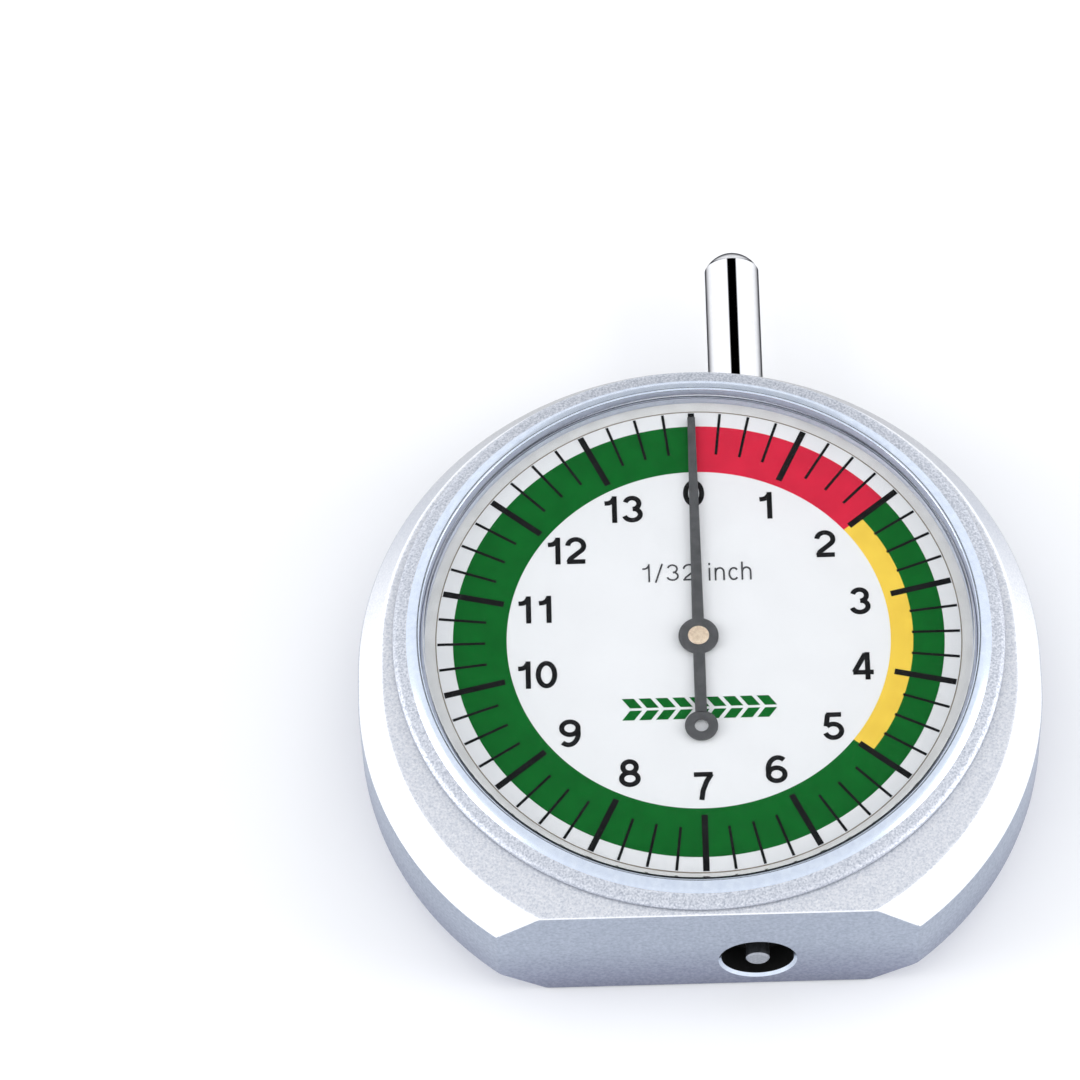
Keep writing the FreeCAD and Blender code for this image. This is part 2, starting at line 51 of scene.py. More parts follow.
# ---------------------------------------------------------------- sizes, in mm
# They are the CAD model's, apart from the crystal's radius and the small roundings.
BODY_R = 29.0
BASE_Y = -26.3
UPPER_Y = -0.9
LOWER_Y = -3.3
FACE_Z = 13.0
FRONT_CHAMFER = (2.1, 3.2)
BACK_CHAMFER = (2.3, 3.0)
FLOOR_Z = 1.4
CAVITY_R = 21.5
LEDGE_Z = 12.0
SEAT_R = 24.65
BASE_CORNER = 0.22  # the bend where the base meets the housing's side
BASE_EDGE_R = 0.12
DIAL_Z = 12.4
RING_BORE_R = 23.6
RING_NECK_R = 24.6
RING_OUT_R = 25.9
RING_LIP_R = 24.74
RING_FOOT_HIGH = 0.24
SPACER_IN_R = 23.15
SPACER_OUT_R = 23.55
SPACER_HIGH = 0.75
CRYSTAL_R = 23.32  # the CAD's is 23.55; this lets the ring's bore wall show beside the glass
CRYSTAL_RIM = 0.4
CRYSTAL_LOW_Z = 13.15
CRYSTAL_HIGH_Z = 14.1
POINTER_LOW_Z = 12.66
POINTER_HIGH_Z = 12.86
POINTER_HUB_R = 1.7
POINTER_TIP_Y = 21.5
POINTER_TAIL_Y = -8.6
POINTER_TAIL_R = 1.4
POINTER_EYE_R = 0.58
POINTER_EDGE = 0.05
BOSS_R = 0.9
BOSS_LOW_Z = 12.0
BOSS_HIGH_Z = 12.99
ARBOR_HOLE_R = 0.5
ARBOR_HOLE_Z = 12.75
PLUNGER_X = 4.1484
PLUNGER_Z = 4.45
ROD_R = 2.4
ROD_START_Y = 15.0
ROD_END_Y = 43.2
ROD_DOME = 1.6
ROD_SHOULDER = math.radians(30)
ROD_SHOULDER_EDGE = 0.03
ROD_GROOVE = (20.1, 20.7)
ROD_GROOVE_DEEP = 0.35
TENON_R = 0.7
TENON_Y = 12.0
COIL_LOW_Y = -20.55
COIL_HIGH_Y = -7.05
COIL_R = 1.45
WIRE_R = 0.11
COIL_TURNS = 10
BASE_HOLE_R = 3.05
BASE_HOLE_DEPTH = 2.5
BASE_HOLE_EDGE = 0.25
PROBE_BUSH_R = 2.2
PROBE_FLANGE_R = 2.65
PROBE_FLANGE_DEEP = 1.5
ROD_BUSH_R = 2.95
ROD_FLANGE_R = 3.15
ROD_FLANGE_DEEP = 1.8
ROD_SEAT_DEEP = 0.6
PROBE_SEAT_DEEP = 0.3
BEYOND = 2.0  # how far a cut runs on past the face that it opens
SCREWS_AT = ((-10.5, 9.5), (-10.5, -9.5), (12.5, 0.0))
SCREW_HOLE_R = 0.85
SCREW_HEAD_R = 1.55
SCREW_HEAD_DEEP = 0.7

# ---------------------------------------------------------------- the dial's print
STEPS = 14
MINOR = 4
BAND_IN = 16.25
BAND_MID = 18.15
BAND_OUT = 20.8
TICK_OUT = 22.12
TICK_SIZES = {True: (16.85, 0.27), False: (18.05, 0.12)}  # inner end and half width, long and short ticks
RED_END = 2 / STEPS
YELLOW_END = 5 / STEPS
RIM_BAND = (22.33, 23.14)
RIM_LINE = (22.20, 22.30)
NUMERAL_R = 14.15
NUMERAL_HIGH = 2.62
NUMERAL_WEIGHT = 0.165
NUMERAL_GAP = 0.06
LEGEND_Y = 6.4
LEGEND_HIGH = 1.75
LEGEND_WEIGHT = 0.085
LEGEND_GAP = 0.10
TREAD_ROWS = ((-7.75, -6.85, 0.34), (-6.60, -5.70, -0.34))  # low, high, lean
TREAD_BLOCKS = 9
TREAD_START_X = -6.3
TREAD_PITCH = 1.42
TREAD_WIDE = 1.0
INK_LOW = DIAL_Z + 0.002
BAND_TOP = DIAL_Z + 0.014
TICK_TOP = DIAL_Z + 0.026
STROKE_STEP = 0.0008  # each stroke of a text stands this much above the one before

# ---------------------------------------------------------------- fineness of the meshes
FINE = 1e-6  # anything smaller counts as nothing
WELD = 1e-8  # vertices closer than this, in metres, become one
LOWER_STEPS = 48
UPPER_STEPS = 180
FLANK_STEPS = 4
BASE_STEPS = 24
RING_STEPS = 320
DISC_STEPS = 256
SECTOR_STEPS = 224
HUB_STEPS = 64
DOME_STEPS = 12
COIL_STEPS = 24
WIRE_STEPS = 8
HOUSING_CREASE = 28.0


# ---------------------------------------------------------------- meshes
def finish_mesh(name, bm, material, body, angle=30.0, smooth=True):
    """Makes an object of a mesh, with creases above an angle in degrees, and lets it ride a body."""
    bmesh.ops.remove_doubles(bm, verts=bm.verts, dist=WELD)
    bmesh.ops.recalc_face_normals(bm, faces=bm.faces)
    mesh = bpy.data.meshes.new(name)
    bm.to_mesh(mesh)
    bm.free()
    mesh.polygons.foreach_set("use_smooth", [smooth] * len(mesh.polygons))
    mesh.set_sharp_from_angle(angle=math.radians(angle))
    obj = bpy.data.objects.new(name, mesh)
    bpy.context.scene.collection.objects.link(obj)
    mesh.materials.append(material)
    if body:
        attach(obj, body)
    return obj


def bend(start, corner, end, steps):
    """Points of a smooth bend from start to end that rounds off the corner between them."""
    shares = [k / steps for k in range(steps + 1)]
    return [start * (1 - t) ** 2 + corner * 2 * t * (1 - t) + end * t * t for t in shares]


def rounded(points, radius, steps=4, closed=True):
    """Rounds the corners of a profile of (a, b) pairs. A corner may carry its own radius as a third number."""
    out = []
    count = len(points)
    for i, p in enumerate(points):
        if not closed and i in (0, count - 1):
            out.append((p[0], p[1]))
            continue
        here = Vector(p[:2])
        before = Vector(points[i - 1][:2]) - here
        after = Vector(points[(i + 1) % count][:2]) - here
        r = p[2] if len(p) > 2 else radius
        r = min(r, before.length * 0.45, after.length * 0.45)
        if r <= FINE:
            out.append((p[0], p[1]))
            continue
        a = here + before.normalized() * r
        b = here + after.normalized() * r
        out += [(q.x, q.y) for q in bend(a, here, b, steps)]
    return out


def lathe(bm, profile, place, segments=192):
    """Turns a closed profile of (radius, height) pairs in mm; place(r, h, angle) gives the point in metres."""
    rings = []
    for r, h in profile:
        if r < FINE:
            rings.append([bm.verts.new(place(0, h, 0))] * segments)
        else:
            angles = [2 * math.pi * i / segments for i in range(segments)]
            rings.append([bm.verts.new(place(r, h, a)) for a in angles])
    for k in range(len(rings)):
        low, high = rings[k], rings[(k + 1) % len(rings)]
        for i in range(segments):
            j = (i + 1) % segments
            corners = []
            for v in (low[i], low[j], high[j], high[i]):
                if v not in corners:
                    corners.append(v)
            if len(corners) > 2:
                bm.faces.new(corners)


def about_z(r, h, a):
    """A place for lathe: turns about the dial's centre."""
    return Vector((r * math.cos(a), r * math.sin(a), h)) * MM


def about_plunger(r, h, a):
    """A place for lathe: turns about the plunger's own axis, with heights along it."""
    return Vector((PLUNGER_X + r * math.cos(a), h, PLUNGER_Z - r * math.sin(a))) * MM


def at(x, y):
    """A place for lathe: turns about an upright line through a point of the plan."""
    def place(r, h, a):
        return Vector((x + r * math.cos(a), y + r * math.sin(a), h)) * MM
    return place


def turned(name, profile, place, material, body, segments=192, angle=30.0):
    """One turned piece, finished."""
    bm = bmesh.new()
    lathe(bm, profile, place, segments)
    return finish_mesh(name, bm, material, body, angle)


def prism(bm, plan, low, high):
    """A flat piece with upright sides between two heights."""
    bottom = [bm.verts.new(Vector((x, y, low)) * MM) for x, y in plan]
    top = [bm.verts.new(Vector((x, y, high)) * MM) for x, y in plan]
    count = len(plan)
    bm.faces.new(top)
    bm.faces.new(list(reversed(bottom)))
    for i in range(count):
        j = (i + 1) % count
        bm.faces.new((bottom[i], bottom[j], top[j], top[i]))


def polar(r, turn):
    """A point on the dial; turn is clockwise from the top, in full turns."""
    a = 2 * math.pi * turn
    return r * math.sin(a), r * math.cos(a)


def sector(bm, inner, outer, start, stop, low, high, pieces=None):
    """A flat piece of a ring between two turns, built as a strip so that its faces stay even."""
    pieces = pieces or max(2, int(abs(stop - start) * SECTOR_STEPS))
    whole = abs(stop - start) > 0.9999
    count = pieces if whole else pieces + 1
    columns = []
    for i in range(count):
        t = start + (stop - start) * i / pieces
        column = []
        for r, z in ((inner, low), (outer, low), (outer, high), (inner, high)):
            x, y = polar(r, t)
            column.append(bm.verts.new(Vector((x, y, z)) * MM))
        columns.append(column)
    for i in range(pieces):
        a, b = columns[i], columns[(i + 1) % count]
        for k in range(4):
            m = (k + 1) % 4
            bm.faces.new((a[k], b[k], b[m], a[m]))
    if not whole:
        bm.faces.new(columns[0])
        bm.faces.new(list(reversed(columns[-1])))


# ---------------------------------------------------------------- materials
def material(name):
    """A new material with its nodes, links and shader."""
    mat = bpy.data.materials.new(name)
    mat.use_nodes = True
    nodes = mat.node_tree.nodes
    return mat, nodes, mat.node_tree.links, nodes["Principled BSDF"]


def grain(nodes, links, scale, detail=3.0):
    """Fine noise in the object's own coordinates, for colour, roughness and bump."""
    place = nodes.new("ShaderNodeTexCoord")
    noise = nodes.new("ShaderNodeTexNoise")
    noise.inputs["Scale"].default_value = scale
    noise.inputs["Detail"].default_value = detail
    noise.inputs["Roughness"].default_value = 0.55
    links.new(place.outputs["Object"], noise.inputs["Vector"])
    return noise.outputs["Fac"]


def ramp(nodes, links, factor, stops):
    """A colour that follows a factor through (place, colour) stops."""
    node = nodes.new("ShaderNodeValToRGB")
    band = node.color_ramp
    while len(band.elements) < len(stops):
        band.elements.new(0.5)
    for element, (where, colour) in zip(band.elements, stops):
        element.position = where
        element.color = (*colour, 1.0)
    links.new(factor, node.inputs["Fac"])
    return node.outputs["Color"]


def grey(v):
    return (v, v, v)


def bump(nodes, links, bsdf, height, strength, distance):
    node = nodes.new("ShaderNodeBump")
    node.inputs["Strength"].default_value = strength
    node.inputs["Distance"].default_value = distance
    links.new(height, node.inputs["Height"])
    links.new(node.outputs["Normal"], bsdf.inputs["Normal"])


def metal(name, dark, light, rough, scale, bump_strength, bump_distance, spread, metallic=1.0):
    """A metal whose grain runs between two tones and two roughnesses."""
    mat, nodes, links, bsdf = material(name)
    fine = grain(nodes, links, scale)
    links.new(ramp(nodes, links, fine, ((0.3, dark), (0.7, light))), bsdf.inputs["Base Color"])
    gloss = ((0.3, grey(rough + spread)), (0.7, grey(rough - spread)))
    links.new(ramp(nodes, links, fine, gloss), bsdf.inputs["Roughness"])
    bump(nodes, links, bsdf, fine, bump_strength, bump_distance)
    bsdf.inputs["Metallic"].default_value = metallic
    return mat


def paint(name, colour, rough, vary, scale, shine):
    """A paint, plastic or print: one colour that varies a little, and its shine."""
    mat, nodes, links, bsdf = material(name)
    bsdf.inputs["Specular IOR Level"].default_value = shine
    soft = grain(nodes, links, scale)
    low = tuple(c * (1 - vary) for c in colour)
    high = tuple(min(1.0, c * (1 + vary)) for c in colour)
    links.new(ramp(nodes, links, soft, ((0.35, low), (0.65, high))), bsdf.inputs["Base Color"])
    gloss = ((0.3, grey(rough - 0.05)), (0.7, grey(rough + 0.05)))
    links.new(ramp(nodes, links, soft, gloss), bsdf.inputs["Roughness"])
    bump(nodes, links, bsdf, grain(nodes, links, 9000.0), 0.06, 0.00001)
    return mat


def tint(mat, factor, stops):
    """Multiplies a metal's colour by a ramp of some factor."""
    nodes, links = mat.node_tree.nodes, mat.node_tree.links
    colour = nodes["Principled BSDF"].inputs["Base Color"]
    base = colour.links[0].from_socket
    mix = nodes.new("ShaderNodeMix")
    mix.data_type = "RGBA"
    mix.blend_type = "MULTIPLY"
    mix.inputs["Factor"].default_value = 1.0
    links.new(base, mix.inputs["A"])
    links.new(ramp(nodes, links, factor, stops), mix.inputs["B"])
    links.new(mix.outputs["Result"], colour)


def turned_away(mat):
    """How far a face turns away from the eye: 0 when it faces it, 1 at its edge."""
    node = mat.node_tree.nodes.new("ShaderNodeLayerWeight")
    node.inputs["Blend"].default_value = 0.5
    return node.outputs["Facing"]


def height_share(mat):
    """Height above the back face as a share of the housing's thickness."""
    nodes, links = mat.node_tree.nodes, mat.node_tree.links
    split = nodes.new("ShaderNodeSeparateXYZ")
    links.new(nodes.new("ShaderNodeTexCoord").outputs["Object"], split.inputs["Vector"])
    share = nodes.new("ShaderNodeMath")
    share.operation = "DIVIDE"
    share.inputs[1].default_value = FACE_Z * MM
    links.new(split.outputs["Z"], share.inputs[0])
    return share.outputs["Value"]


def chrome():
    """Plating with painted shade on its turned-away edges, standing in for the dark reflections that a
    polished rod shows there in a bright tent.
    """
    mat = metal(
        "chrome_rod", (0.92, 0.92, 0.93), (0.97, 0.97, 0.98),
        0.035, 1800.0, 0.01, 0.000001, 0.01)
    # Painted reflection: the colour is darkened where the rod's surface turns away from the eye.
    tint(mat, turned_away(mat), (
        (0.0, grey(1.0)), (0.52, grey(0.97)), (0.66, grey(0.72)), (0.80, grey(0.05))))
    mat.node_tree.nodes["Principled BSDF"].inputs["Specular Tint"].default_value = (0.25, 0.25, 0.26, 1.0)
    return mat


def satin_side():
    """Machined side, with painted shade low down near the back chamfer, standing in for the darker reflection
    there.
    """
    mat = metal(
        "satin_side", (0.345, 0.385, 0.465), (0.445, 0.49, 0.575),
        0.44, 3600.0, 0.14, 0.00001, 0.07)
    # Painted shade: the colour darkens toward the back face.
    tint(mat, height_share(mat), (
        (0.0, (0.62, 0.60, 0.66)), (0.16, (0.74, 0.72, 0.78)), (0.55, grey(1.0))))
    return mat


def bright_chamfer():
    """Bright cut with painted shade where it turns away from the eye, darkening it toward the blasted tone, in
    place of its darker reflection there.
    """
    mat = metal(
        "bright_chamfer", (0.80, 0.82, 0.86), (0.98, 0.98, 0.99),
        0.42, 5200.0, 0.4, 0.00003, 0.08, 0.6)
    # Painted shade: the colour darkens as the chamfer turns away from the eye.
    tint(mat, turned_away(mat), (
        (0.0, grey(1.0)), (0.58, grey(1.0)), (0.76, (0.60, 0.62, 0.66)), (0.92, grey(0.5))))
    return mat


BLASTED = metal(
    "blasted_front", (0.55, 0.58, 0.64), (0.90, 0.91, 0.94),
    0.50, 5200.0, 0.7, 0.00004, 0.12, 0.62)
# Painted shade: the ring's blasted tone is set darker than the front face's, for the dimmer light that falls
# on the ring.
RING_BLASTED = metal(
    "blasted_ring", (0.38, 0.41, 0.47), (0.78, 0.80, 0.85),
    0.46, 5600.0, 0.6, 0.00004, 0.12, 0.72)
CHAMFER = bright_chamfer()
SIDE = satin_side()
BACK = metal(
    "satin_back", (0.345, 0.38, 0.455), (0.43, 0.47, 0.56),
    0.44, 2600.0, 0.12, 0.00001, 0.06)
# Painted shade: a dark tone for the ring's lower outer wall, standing in for the shadow in the crease where
# the ring meets the front face.
RING_FOOT_SHADE = metal("ring_foot_painted_shade", (0.20, 0.22, 0.26), (0.30, 0.32, 0.37), 0.5, 3600.0, 0.1, 0.00001, 0.06)
BEVEL = metal(
    "polished_bevel", (0.64, 0.71, 0.83), (0.72, 0.79, 0.89),
    0.22, 1500.0, 0.03, 0.000004, 0.04)
BORE = metal(
    "bore_wall", (0.16, 0.18, 0.23), (0.24, 0.26, 0.32),
    0.35, 2500.0, 0.05, 0.000005, 0.05)
CHROME = chrome()
STEEL = metal(
    "ground_steel", (0.46, 0.48, 0.52), (0.62, 0.64, 0.68),
    0.32, 5200.0, 0.12, 0.000006, 0.06)
SPRING = metal(
    "spring_wire", (0.34, 0.35, 0.37), (0.46, 0.47, 0.50),
    0.34, 5200.0, 0.10, 0.000006, 0.05)
BRASS = metal(
    "brushed_brass", (0.58, 0.42, 0.18), (0.72, 0.54, 0.26),
    0.34, 4200.0, 0.12, 0.000006, 0.06)
BOSS = metal(
    "boss_brass", (0.72, 0.55, 0.39), (0.95, 0.79, 0.60),
    0.34, 4200.0, 0.08, 0.000005, 0.05, 0.25)
BRONZE = metal(
    "bush_bronze", (0.46, 0.32, 0.16), (0.60, 0.42, 0.22),
    0.36, 4200.0, 0.12, 0.000006, 0.06)
# Black acetal for the probe's bush; the housing also takes it inside the base hole as painted shade.
BLACK_ACETAL_AND_HOLE_SHADE = paint("black_acetal_and_hole_shade", (0.005, 0.005, 0.005), 0.6, 0.15, 2600.0, 0.2)
PROBE = metal(
    "probe_steel", (0.30, 0.32, 0.36), (0.42, 0.44, 0.48),
    0.36, 5200.0, 0.12, 0.000006, 0.06)
SLATE = paint("spacer_slate", (0.50, 0.535, 0.63), 0.42, 0.06, 2200.0, 0.2)
# Painted shade: a matte slate tone for the ring's bore wall, standing in for the shade on that inner wall.
RING_BORE = paint("ring_bore_slate", (0.36, 0.39, 0.48), 0.36, 0.06, 2200.0, 0.2)
WHITE = paint("dial_enamel", (0.90, 0.90, 0.90), 0.55, 0.012, 240.0, 0.12)
RIM_GREY = paint("dial_rim_grey", (0.80, 0.79, 0.765), 0.5, 0.05, 500.0, 0.12)
LINE = paint("dial_rim_line", (0.30, 0.26, 0.21), 0.5, 0.10, 900.0, 0.12)
GREEN = paint("print_green", (0.003, 0.132, 0.018), 0.5, 0.07, 500.0, 0.12)
RED = paint("print_red", (0.72, 0.024, 0.060), 0.5, 0.05, 500.0, 0.12)
YELLOW = paint("print_yellow", (0.98, 0.66, 0.085), 0.5, 0.05, 500.0, 0.12)
INK = paint("print_black", (0.010, 0.010, 0.011), 0.5, 0.12, 900.0, 0.12)
GREY_INK = paint("print_grey", (0.07, 0.07, 0.075), 0.5, 0.12, 900.0, 0.12)
POINTER = paint("pointer_grey", (0.096, 0.097, 0.100), 0.42, 0.12, 1600.0, 0.2)


def crystal_material():
    """Clear acrylic that lets shadow rays through, so that the dial under it stays lit."""
    mat, nodes, links, bsdf = material("clear_crystal")
    bsdf.inputs["Base Color"].default_value = (0.98, 0.99, 1.0, 1.0)
    bsdf.inputs["Transmission Weight"].default_value = 1.0
    bsdf.inputs["IOR"].default_value = 1.49
    haze = grain(nodes, links, 60.0, 2.0)
    links.new(ramp(nodes, links, haze, ((0.35, grey(0.02)), (0.75, grey(0.05)))), bsdf.inputs["Roughness"])
    clear = nodes.new("ShaderNodeBsdfTransparent")
    path = nodes.new("ShaderNodeLightPath")
    mix = nodes.new("ShaderNodeMixShader")
    links.new(path.outputs["Is Shadow Ray"], mix.inputs["Fac"])
    links.new(bsdf.outputs["BSDF"], mix.inputs[1])
    links.new(clear.outputs["BSDF"], mix.inputs[2])
    links.new(mix.outputs["Shader"], nodes["Material Output"].inputs["Surface"])
    return mat


CRYSTAL = crystal_material()


# ---------------------------------------------------------------- the housing
HOUSING_FINISHES = (SIDE, BLASTED, CHAMFER, BORE, BEVEL, BACK, BLACK_ACETAL_AND_HOLE_SHADE)
TOUCH = 0.02  # a face closer than this to a plane, in mm, lies in it
RIM_R = 26.2  # the faces of the side and the chamfers lie outside this radius
SAME_SLOPE = 0.012  # how near a face's upward part must be to an exact surface's


def outline(side_inset, base_inset, z):
    """One level of the housing: round top, straight flanks, round lower half cut by the base."""
    r = BODY_R - side_inset
    base = BASE_Y + base_inset
    reach = math.sqrt(r * r - (base - LOWER_Y) ** 2)
    start = math.atan2(base - LOWER_Y, reach)
    lower = [start + (0 - start) * i / LOWER_STEPS for i in range(LOWER_STEPS + 1)]
    upper = [math.pi * i / UPPER_STEPS for i in range(UPPER_STEPS + 1)]
    flank = range(1, FLANK_STEPS)
    points = [(r * math.cos(a), LOWER_Y + r * math.sin(a)) for a in lower]
    points += [(r, LOWER_Y + (UPPER_Y - LOWER_Y) * i / FLANK_STEPS) for i in flank]
    points += [(r * math.cos(a), UPPER_Y + r * math.sin(a)) for a in upper]
    points += [(-r, UPPER_Y + (LOWER_Y - UPPER_Y) * i / FLANK_STEPS) for i in flank]
    points += [(-r * math.cos(a), LOWER_Y + r * math.sin(a)) for a in reversed(lower)]
    left, right = points[-1], points[0]
    points = points[1:-1]
    soft = []
    for corner, inward, outer in ((left, 1.0, points[-1]), (right, -1.0, points[0])):
        along = Vector((outer[0] - corner[0], outer[1] - corner[1]))
        a = Vector(corner) + along.normalized() * min(BASE_CORNER, along.length * 0.8)
        b = Vector((corner[0] + inward * BASE_CORNER, corner[1]))
        turn = bend(a, Vector(corner), b, 4)
        soft.append([(q.x, q.y) for q in (turn if inward > 0 else reversed(turn))])
    x0, x1 = soft[0][-1][0], soft[1][0][0]
    flat = [(x0 + (x1 - x0) * i / BASE_STEPS, base) for i in range(1, BASE_STEPS)]
    points += soft[0] + flat + soft[1]
    return [Vector((x, y, z)) * MM for x, y in points]


def housing_levels():
    """Each level's inset at the side and at the base, and its height, from the back face to the front."""
    side = rounded([
        (BACK_CHAMFER[0] + 3, 0), (BACK_CHAMFER[0], 0, 0.22), (0, BACK_CHAMFER[1], 0.5),
        (0, FACE_Z - FRONT_CHAMFER[1], 0.34), (FRONT_CHAMFER[0], FACE_Z, 0.30),
        (FRONT_CHAMFER[0] + 3, FACE_Z),
    ], 0.2, 6, closed=False)
    levels = []
    for inset, z in side[1:-1]:
        drop = BASE_EDGE_R - min(z, FACE_Z - z, BASE_EDGE_R)
        base = BASE_EDGE_R - math.sqrt(max(0.0, BASE_EDGE_R ** 2 - drop ** 2))
        levels.append((inset, base, z))
    return levels


def cutter(name, profile, place, segments=96):
    """A turned shape that a boolean takes away from the housing."""
    bm = bmesh.new()
    lathe(bm, profile, place, segments)
    return finish_mesh(name, bm, SIDE, None)


def outward(co):
    """The outline's own outward direction at a point on the housing's side."""
    y = co.y / MM
    centre = UPPER_Y if y > UPPER_Y else LOWER_Y if y < LOWER_Y else y
    return Vector((co.x / MM, y - centre, 0)).normalized()


def true_normals(mesh):
    """Gives the flat faces, the wall and the chamfers the exact surfaces' normals, so cuts leave no marks."""
    wall = Vector((1.0, 0.0))
    front = Vector((FRONT_CHAMFER[1], FRONT_CHAMFER[0])).normalized()
    back = Vector((BACK_CHAMFER[1], -BACK_CHAMFER[0])).normalized()
    middle = Vector((0, (UPPER_Y + LOWER_Y) / 2)) * MM
    normals = [Vector(n.vector) for n in mesh.corner_normals]
    for face in mesh.polygons:
        n, c = face.normal, face.center
        flat = max(abs(n.x), abs(n.y), abs(n.z)) > 0.9999 and face.area > (0.5 * MM) ** 2
        rim = outward(c).dot(n) > 0.5 and (c.xy - middle).length > RIM_R * MM
        base = c.y < (BASE_Y + TOUCH) * MM
        slope = None
        if rim and not base:
            slope = next((t for t in (wall, front, back) if abs(t.y - n.z) < SAME_SLOPE), None)
        for loop in face.loop_indices:
            if slope is not None:
                side = outward(mesh.vertices[mesh.loops[loop].vertex_index].co)
                normals[loop] = side * slope.x + Vector((0, 0, slope.y))
            elif flat:
                normals[loop] = n.copy()
    mesh.normals_split_custom_set(normals)


def housing_finish(n, c):
    """The finish of one of the housing's faces, from its normal and its centre in mm; the inside of the base
    hole takes painted shade and its edge a painted highlight.
    """
    radial = math.hypot(c.x, c.y)
    hole = math.hypot(c.x - PLUNGER_X, c.z - PLUNGER_Z)
    mouth_y = BASE_Y + BASE_HOLE_EDGE - 0.01
    if c.z > FACE_Z - TOUCH and n.z > 0.9:
        return BLASTED
    if c.z > FACE_Z - FRONT_CHAMFER[1] - TOUCH and n.z > 0.2 and radial > 24:
        return CHAMFER
    # Painted highlight: the base hole's edge chamfer takes the bright polished bevel, for the glints on its
    # rim.
    if hole < BASE_HOLE_R + BASE_HOLE_EDGE + TOUCH and c.y < mouth_y and abs(n.y) < 0.95:
        return BEVEL
    if c.z < 0.3 and n.z < -0.5:
        return BACK
    # Painted shade: the base hole's own wall is made black for the deep shade inside the hole.
    if hole < BASE_HOLE_R + 0.01 and mouth_y < c.y < 0:
        return BLACK_ACETAL_AND_HOLE_SHADE
    if hole < ROD_FLANGE_R + 0.01 and c.y > 0 and abs(n.y) < 0.5:
        return BORE
    if radial < SEAT_R + 0.1 and FLOOR_Z - 0.01 <= c.z <= FACE_Z:
        return BORE
    return SIDE


def housing_cuts():
    """The hollow behind the dial, the base hole with its bush's seat, the rod's hole, the screw holes."""
    hollow = [
        (0, FLOOR_Z), (CAVITY_R, FLOOR_Z), (CAVITY_R, LEDGE_Z), (SEAT_R, LEDGE_Z),
        (SEAT_R, FACE_Z + 3), (0, FACE_Z + 3),
    ]
    step_y, seat_y = BASE_Y + BASE_HOLE_DEPTH, -CAVITY_R + PROBE_SEAT_DEEP
    flange_y = -CAVITY_R + PROBE_FLANGE_DEEP
    mouth = [
        (0, BASE_Y - BEYOND), (BASE_HOLE_R + BASE_HOLE_EDGE + BEYOND, BASE_Y - BEYOND),
        (BASE_HOLE_R, BASE_Y + BASE_HOLE_EDGE), (BASE_HOLE_R, step_y), (PROBE_BUSH_R, step_y),
        (PROBE_BUSH_R, seat_y), (PROBE_FLANGE_R, seat_y), (PROBE_FLANGE_R, flange_y), (0, flange_y),
    ]
    inner_y, outer_y, beyond_y = CAVITY_R - ROD_FLANGE_DEEP, CAVITY_R - ROD_SEAT_DEEP, BODY_R + 3
    rod_hole = [
        (0, inner_y), (ROD_FLANGE_R, inner_y), (ROD_FLANGE_R, outer_y), (ROD_BUSH_R, outer_y),
        (ROD_BUSH_R, beyond_y), (0, beyond_y),
    ]
    screw = [
        (0, -1), (SCREW_HEAD_R + 1, -1), (SCREW_HOLE_R, SCREW_HEAD_DEEP),
        (SCREW_HOLE_R, FLOOR_Z + 0.5), (0, FLOOR_Z + 0.5),
    ]
    return [
        cutter("cut_hollow", hollow, about_z, 192),
        cutter("cut_mouth", mouth, about_plunger),
        cutter("cut_rod", rod_hole, about_plunger),
    ] + [cutter("cut_screw", screw, at(x, y), 48) for x, y in SCREWS_AT]


def housing():
    bm = bmesh.new()
    loops = [[bm.verts.new(p) for p in outline(*level)] for level in housing_levels()]
    for low, high in zip(loops, loops[1:]):
        for i in range(len(low)):
            j = (i + 1) % len(low)
            bm.faces.new((low[i], low[j], high[j], high[i]))
    bm.faces.new(list(reversed(loops[0])))
    bm.faces.new(loops[-1])
    body = finish_mesh("housing", bm, SIDE, None, HOUSING_CREASE)
    cuts = housing_cuts()
    for cut in cuts:
        mod = body.modifiers.new("cut", "BOOLEAN")
        mod.operation = "DIFFERENCE"
        mod.solver = "EXACT"
        mod.object = cut
    graph = bpy.context.evaluated_depsgraph_get()
    mesh = bpy.data.meshes.new_from_object(body.evaluated_get(graph))
    body.modifiers.clear()
    body.data = mesh
    for cut in cuts:
        bpy.data.objects.remove(cut)
    mesh.polygons.foreach_set("use_smooth", [True] * len(mesh.polygons))
    mesh.set_sharp_from_angle(angle=math.radians(HOUSING_CREASE))
    mesh.materials.clear()
    for mat in HOUSING_FINISHES:
        mesh.materials.append(mat)
    for face in mesh.polygons:
        finish = housing_finish(face.normal, face.center / MM)
        face.material_index = HOUSING_FINISHES.index(finish)
    true_normals(mesh)
    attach(body, "case")
    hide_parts("case_body")


housing()


# ---------------------------------------------------------------- bezel ring, spacer and crystal
RING_FINISHES = (RING_BLASTED, BEVEL, RING_BORE, RING_FOOT_SHADE)


def ring_finish(n, c):
    """The finish of one of the ring's faces, from its normal and its centre in mm; the bore wall and the foot
    take painted shade.
    """
    radial = math.hypot(c.x, c.y)
    if c.z > FACE_Z + 0.86 and radial < RING_LIP_R and n.z > 0.05:
        return BEVEL
    # Painted shade on the ring's bore wall.
    if radial < RING_BORE_R + 0.1:
        return RING_BORE
    # Painted shade along the ring's foot.
    if radial > RING_OUT_R - 0.2 and c.z < FACE_Z + RING_FOOT_HIGH:
        return RING_FOOT_SHADE
    return RING_BLASTED


